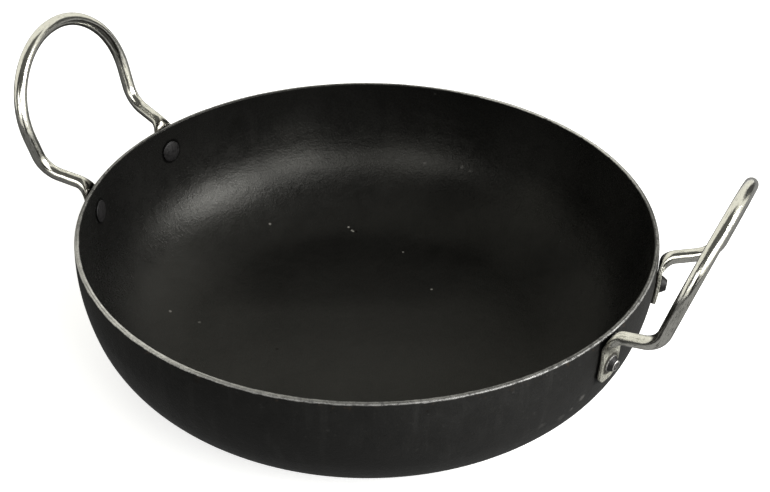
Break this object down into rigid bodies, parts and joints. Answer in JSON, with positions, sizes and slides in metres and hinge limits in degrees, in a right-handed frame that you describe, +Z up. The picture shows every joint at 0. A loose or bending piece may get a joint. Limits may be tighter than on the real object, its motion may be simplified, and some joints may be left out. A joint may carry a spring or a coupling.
{
  "type": "kadai",
  "caption": "Shallow round flat-bottomed frying pan in blackened sheet iron, with a bare ground rim and riveted bent-wire loop handles on opposite sides.",
  "frame": {"origin": "centre of the flat base's underside", "axes": "+Z up along the bowl's axis, handles towards +X and -X, +Y to the back"},
  "size_m": [0.336, 0.2604, 0.1275],
  "materials": {
    "blackened_iron": "satin",
    "polished_wire": "polished",
    "rivet_iron": "satin"
  },
  "bodies": {
    "root": {"bowl": "blackened_iron", "right_handle": "polished_wire", "left_handle": "polished_wire", "rivet_right_front": "rivet_iron", "rivet_right_back": "rivet_iron", "rivet_left_front": "rivet_iron", "rivet_left_back": "rivet_iron"}
  },
  "joints": []
}
